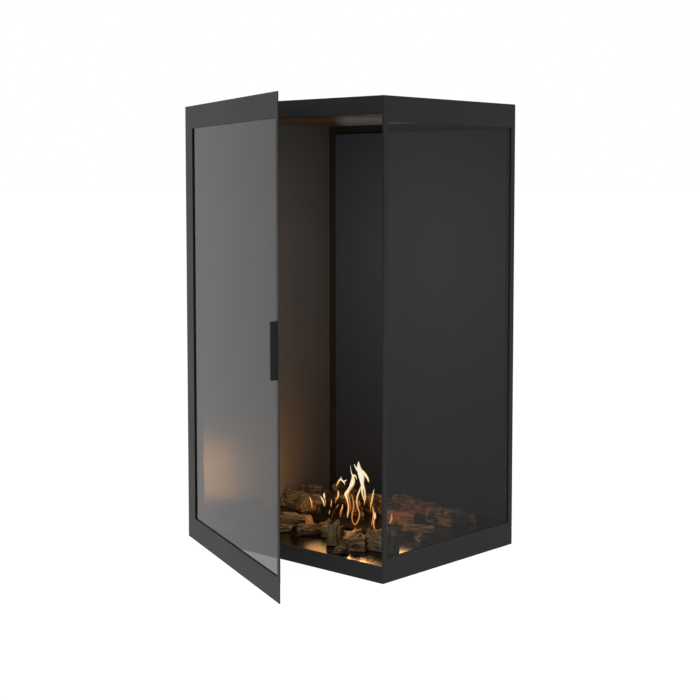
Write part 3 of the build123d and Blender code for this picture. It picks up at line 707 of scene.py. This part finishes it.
# A split log. Its skin moves inwards by bark furrows |2n-1|, grain, thin cracks and splintered ends,
# all noise that is stretched along the log's longest direction.
def makeLog(name, mesh, seed, barkShare):
    look = logLook
    piece = remeshed(name, mesh, look["voxel"])
    mesh = piece.data
    points = pointArray(mesh, "vertices", "co", 3)
    normals = pointArray(mesh, "vertices", "normal", 3)
    axes = longAxes(points)
    local = (points - points.mean(axis=0)) @ axes.T
    shift = seed * look["seedStep"]
    patches = layeredNoise(points / look["patch"] + shift, seed, 2)
    bark = np.clip((barkShare - patches) * look["patchEdge"] + 0.5, 0, 1)
    ridge = np.abs(2 * layeredNoise(local / look["barkStretch"] + shift, seed + 11, 3) - 1)
    furrow = np.clip(1 - look["furrowEdge"] * ridge, 0, 1)
    grain = layeredNoise(local / look["grainStretch"] + shift, seed + 23, 2)
    vein = layeredNoise(local / look["crackStretch"] + shift, seed + 37, 2)
    crack = np.clip(1 - look["crackEdge"] * np.abs(vein - 0.5), 0, 1)
    across = local * [0, 1, 1]
    splinter = layeredNoise(across / look["splinterStretch"] + shift, seed + 51, 2)
    steep, start = look["endFacing"]
    ends = np.clip(np.abs(normals @ axes[0]) * steep - start, 0, 1)
    depth = bark * furrow * look["barkDepth"] + (1 - bark) * grain * look["grainDepth"]
    depth += (1 - 0.5 * bark) * crack * look["crackDepth"] + ends * splinter * look["endDepth"]
    # Painted shade: how deep in a furrow, crack or splinter each point lies, to darken its colour
    hollowShade = np.maximum(bark * furrow, crack) + 0.5 * ends * splinter
    points -= normals * depth[:, None]
    mesh.vertices.foreach_set("co", points.astype(np.float32).ravel())
    addAttribute(mesh, "grainPlace", "FLOAT_VECTOR", local + shift * 0.05)
    addAttribute(mesh, "barkShare", "FLOAT", bark)
    addAttribute(mesh, "hollowShade", "FLOAT", np.clip(hollowShade, 0, 1))
    mesh.shade_smooth()
    return piece


# Every log node and every loose chip becomes a rough log in the node's own space
def makeLogs():
    slots = {part["node"]: part["material_slot"] for part in frame["record"]["subparts"]}
    seed = logLook["firstSeed"]
    for node in sorted(name for name in slots if slots[name] in ("log_ceramic", "log_red")):
        for count, mesh in enumerate(looseCopies(node)):
            split = node in logLook["split"] or slots[node] == "log_red"
            share = logLook["splitShare" if split else "barkShare"]
            piece = makeLog(f"{node}_{count}", mesh, seed, share)
            piece.data.materials.append(finishes[slots[node]])
            leaveOut(offLining, piece)
            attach(piece, "casing")
            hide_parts(node)
            seed += 1
    print("logs:", seed - logLook["firstSeed"])


flameLook = {
    "y": -45.0,               # the flames stand over the burner's slot
    "around": 16,
    "alongEach": 7,           # rings between two points of a path
    "depthShare": 0.5,        # thickness of a tongue over its width
    "widthShare": 0.72,       # all tongues are this share of their listed width
    "thinnest": 0.3,          # mm, the least half width
    "sway": 2.0,              # mm that a tongue leans out of the slot's plane
    "swayHeight": 11.0,       # mm of height for each radian of the sway
    "heatRise": 0.6,          # power of the rise from the root's heat to the tip's
    "rimDrop": 0.55,          # how much cooler a tongue's side edges are than its middle
    "lowDrop": 0.32,          # how much cooler the gas is at the burner
    "lowReach": (60, 150),    # the heights in mm between which that fades out
    "stops": (
        (0.0, (0.25, 0.05, 0.015)), (0.22, (0.6, 0.17, 0.04)), (0.42, (0.9, 0.45, 0.1)),
        (0.58, (1.0, 0.8, 0.33)), (0.78, (0.9, 0.9, 0.78))),
    "wisp": (60, 3, 0.6),     # scale, detail and roughness of the places where the gas is thin
    "wispRange": {"From Min": 0.3, "From Max": 0.55, "To Min": 0.72},
    "edgeRange": {"From Min": -0.1, "From Max": 0.3, "To Min": 0.3},    # the cool edges thin out
}
# Each tongue: its points from the root up as (x, z, half width) in mm, the heat at root and tip, and how
# far behind the slot it stands
tongues = {
    "mainRightLeg": (
        ((88, 103, .7), (90, 111, 2.2), (93, 121, 3.4), (91, 132, 3.2), (86, 143, 3.4), (82, 152, 3)),
        .45, .95, 0),
    "mainLeftLeg": (
        ((89, 112, 1), (86, 121, 2.6), (82, 132, 3.4), (80, 142, 3.8), (81, 153, 4.5)),
        .7, 1, 1),
    "mainBody": (
        ((83, 140, 2), (80, 150, 6), (79, 160, 9.5), (78, 170, 11.5), (76, 180, 9.5), (73, 190, 6),
         (72, 200, .8)),
        .9, 1, 0),
    "mainHorn": (((74, 174, 3.5), (67, 181, 3.8), (62, 187, 2.4), (58, 192, .6)), 1, .95, 1),
    "mainTongue": (((83, 179, 5), (90, 172, 5), (96, 165, 3.8), (98, 159, 2.6), (99, 156, .6)), 1, .75, 1),
    "loop": (
        ((54, 123, .7), (58, 110, 2), (57, 94, 2.4), (53, 78, 2.5), (56, 63, 2.6), (65, 56, 2.8),
         (73, 67, 2.8), (75, 81, 2.3), (70, 95, 2.3), (69, 108, 2.8), (72, 121, 3.4), (77, 134, 3),
         (80, 146, 1)),
        .5, .75, -3),
    "second": (
        ((34, 65, .8), (34, 73, 3.4), (35, 88, 2.9), (34, 102, 3), (32, 112, 5), (31, 119, 7),
         (37, 127, 6), (43, 136, 6.5), (47, 145, 8.5), (49, 154, 7.5), (48, 163, 3.4), (45, 172, 1.5),
         (44, 186, .4)),
        .8, .9, 4),
    "secondCurl": (((48, 160, 4), (53, 165, 3.6), (58, 162, 2.4), (60, 157, .6)), .95, .7, 4),
    "strand": (
        ((44, 79, .8), (46, 92, 1.7), (45, 108, 1.8), (44, 122, 2), (48, 134, 2.4), (55, 143, 1)),
        .4, .6, -2),
    "strandSide": (((50, 84, .7), (51, 96, 2), (50, 108, 2.2), (50, 117, .6)), .25, .55, -6),
    "detached": (
        ((-2, 131, .6), (1, 139, 2.6), (6, 147, 3.4), (11, 149, 3.2), (17, 146, 3), (22, 147, 2.4),
         (27, 151, .6)),
        .45, .9, 6),
    "detachedFork": (((9, 148, 2), (10, 151, 2.4), (10, 155, .6)), .9, .9, 6),
    "detachedTail": (((18, 146, 2.4), (21, 143, 2), (23, 139, .5)), .9, .9, 6),
    "hook": (
        ((-3, 91, .7), (-3, 98, 1.6), (3, 105, 3), (8, 112, 4.4), (9, 119, 3.4), (8, 125, .8)),
        .3, .8, 2),
    "hookSide": (((-13, 82, .7), (-11, 91, 2.7), (-9, 101, .7)), .4, .75, -4),
    "hookLow": (((-4, 80, .6), (1, 86, 2), (5, 91, .6)), .4, .6, 3),
    "leftPair": (((19, 65, .8), (19, 76, 2.8), (23, 86, 3.4), (26, 96, .7)), .45, .75, -5),
    "leftPairInner": (((23, 67, .7), (25, 76, 2.6), (25, 86, .7)), .2, .4, -8),
    "spark": (((-20, 65, .7), (-19, 70, 2.4), (-19, 75, .7)), .6, .7, 0),
    "sparkRed": (((-11, 65, .6), (-10, 71, 1.9), (-9, 78, .5)), .1, .2, 3),
    "sparkLow": (((-8, 59, .7), (-7, 63, 2.2), (-7, 68, .6)), .05, .15, -3),
    "farLeft": (((-98, 70, .5), (-100, 79, 2), (-101, 88, .5)), .3, .4, 2),
    "leftTall": (
        ((-71, 62, .6), (-73, 72, 2.2), (-75, 82, 3.4), (-78, 90, 2.8), (-82, 97, .6)),
        .3, .85, -2),
    "whiteLean": (((-40, 79, .7), (-41, 86, 2.6), (-44, 94, 3.8), (-50, 102, 1)), .7, 1, 3),
    "whiteDrop": (((-35, 99, .8), (-35, 104, 4), (-35, 109, 3.6), (-34, 113, .7)), .9, 1, 0),
    "dropStem": (((-33, 82, .7), (-33, 91, 2), (-34, 101, 1)), .4, .7, 0),
    "ember": (((-54, 67, .8), (-54, 71, 2.8), (-54, 75, .7)), .05, .1, 2),
    "rightTall": (
        ((103, 89, .6), (104, 98, 2), (106, 107, 3.6), (110, 116, 3.4), (112, 126, 3), (113, 134, 2),
         (114, 142, .5)),
        .4, .8, 3),
    "rightThin": (
        ((112, 58, .8), (114, 68, 2.6), (116, 80, 3), (116, 92, 2.8), (115, 104, .6)),
        .5, .8, -2),
    "rightThinSide": (((112, 61, .8), (110, 74, 2.8), (110, 88, .6)), .15, .35, 3),
    "rightDrop": (((122, 76, .8), (122, 81, 4), (122, 87, 3.8), (122, 92, .8)), .9, 1, -4),
    "rightRoot": (((126, 52, .8), (122, 60, 3), (120, 68, 3.2), (121, 77, .7)), .55, .8, -4),
    "rightSmall": (((142, 69, .7), (142, 76, 2.2), (142, 84, .6)), .6, .75, 2),
    "rightPink": (((136, 53, .7), (139, 56, 2.6), (142, 60, .7)), .3, .5, 2),
    "glassTall": (
        ((157, 61, .7), (161, 71, 2.2), (166, 79, 4), (168, 87, 3.4), (167, 95, .7)),
        .5, .85, 0),
    "glassSmall": (((187, 73, .5), (187, 81, 2.2), (186, 91, .5)), .35, .5, 0),
}


# A Catmull-Rom curve through the points, its ends mirrored, with the given steps between two points
def smoothPath(points, steps):
    held = np.vstack([2 * points[:1] - points[1:2], points, 2 * points[-1:] - points[-2:-1]])
    t = np.linspace(0, 1, steps, endpoint=False)[None, :, None]
    a, b, c, d = held[:-3, None], held[1:-2, None], held[2:-1, None], held[3:, None]
    square = 2 * a - 5 * b + 4 * c - d
    cube = 3 * b - a - 3 * c + d
    curve = 0.5 * (2 * b + (c - a) * t + square * t ** 2 + cube * t ** 3)
    return np.vstack([curve.reshape(-1, points.shape[1]), points[-1:]])


# A flame tongue: a flattened round section of half width w carried along a smooth path in the burner's
# plane, its rings square to the path and closed by a point at each end. Heat runs from root to tip.
def tongueSurface(points, heats, offset):
    look = flameLook
    line = smoothPath(np.array(points, dtype=float), look["alongEach"])
    place, wide = line[:, :2], np.maximum(line[:, 2] * look["widthShare"], look["thinnest"])
    run = np.gradient(place, axis=0)
    run /= np.linalg.norm(run, axis=1)[:, None]
    side = np.stack([run[:, 1], -run[:, 0]], axis=1)
    angle = np.linspace(0, 2 * np.pi, look["around"], endpoint=False)
    rings = place[:, None] + side[:, None] * (wide[:, None] * np.cos(angle))[..., None]
    deep = look["y"] + offset + look["sway"] * np.sin(place[:, 1] / look["swayHeight"])
    depth = deep[:, None] + look["depthShare"] * wide[:, None] * np.sin(angle)
    grid = np.stack([rings[..., 0], depth, rings[..., 1]], axis=-1)
    ends = [(*(place[i] - run[i] * s * wide[i]), deep[i]) for i, s in ((0, 1), (-1, -1))]
    ends = np.array(ends)[:, [0, 2, 1]]
    share = np.linspace(0, 1, len(line))
    heat = heats[0] + (heats[1] - heats[0]) * share ** look["heatRise"]
    heat -= look["lowDrop"] * np.interp(place[:, 1], look["lowReach"], (1, 0))
    heat = (heat[:, None] - look["rimDrop"] * np.cos(angle) ** 2).ravel()
    verts = np.vstack([grid.reshape(-1, 3), ends]) * mm
    count, around = len(line), look["around"]
    index = np.arange(count * around).reshape(count, around)
    turned = np.roll(index, -1, axis=1)
    quads = np.stack([index[:-1], turned[:-1], turned[1:], index[1:]], axis=-1).reshape(-1, 4)
    root = np.full(around, count * around)
    rootCap = np.stack([turned[0], index[0], root], axis=-1)
    tipCap = np.stack([index[-1], turned[-1], root + 1], axis=-1)
    return verts, (quads, rootCap, tipCap), np.concatenate([heat, heats])


# Glowing gas: glowHeat runs from red over yellow to white, and cools towards a tongue's edge
def flameMaterial():
    look = flameLook
    mat, nodes, links, bsdf = newMaterial("flameGlow")
    mat.cycles.emission_sampling = "NONE"
    heat = attributeNode(nodes, "glowHeat")
    ramp = nodes.new("ShaderNodeValToRGB")
    stops = look["stops"]
    ramp.color_ramp.elements[0].color = (*stops[0][1], 1)
    ramp.color_ramp.elements[1].position = stops[-1][0]
    ramp.color_ramp.elements[1].color = (*stops[-1][1], 1)
    for at, colour in stops[1:-1]:
        ramp.color_ramp.elements.new(at).color = (*colour, 1)
    links.new(heat.outputs["Fac"], ramp.inputs["Fac"])
    links.new(ramp.outputs["Color"], bsdf.inputs["Emission Color"])
    bsdf.inputs["Emission Strength"].default_value = 1.0
    bsdf.inputs["Base Color"].default_value = (0, 0, 0, 1)
    bsdf.inputs["Specular IOR Level"].default_value = 0
    bsdf.inputs["Roughness"].default_value = 1
    place = nodes.new("ShaderNodeTexCoord")
    wisp = noiseNode(nodes, *look["wisp"])
    links.new(place.outputs["Object"], wisp.inputs["Vector"])
    thin = rangeNode(nodes, look["wispRange"])
    edge = rangeNode(nodes, look["edgeRange"])
    links.new(wisp.outputs["Fac"], thin.inputs["Value"])
    links.new(heat.outputs["Fac"], edge.inputs["Value"])
    alpha = mathNode(nodes, "MULTIPLY")
    links.new(thin.outputs["Result"], alpha.inputs[0])
    links.new(edge.outputs["Result"], alpha.inputs[1])
    links.new(alpha.outputs[0], bsdf.inputs["Alpha"])
    return mat


def makeFlames():
    verts, faces, heats, start = [], [], [], 0
    for points, root, tip, offset in tongues.values():
        surface, facets, heat = tongueSurface(points, (root, tip), offset)
        for some in facets:
            faces += (some + start).tolist()
        verts.append(surface)
        heats.append(heat)
        start += len(surface)
    mesh = bpy.data.meshes.new("flames")
    mesh.from_pydata(np.vstack(verts).tolist(), [], faces)
    addAttribute(mesh, "glowHeat", "FLOAT", np.concatenate(heats))
    mesh.shade_smooth()
    mesh.materials.append(flameMaterial())
    flames = bpy.data.objects.new("flames", mesh)
    flames.visible_diffuse = False    # the fire lamps light the logs, with less noise
    bpy.context.collection.objects.link(flames)
    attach(flames, "casing")
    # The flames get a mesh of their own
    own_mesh(flames)
    print("flames:", len(tongues), "tongues")


makeLogs()
makeFlames()
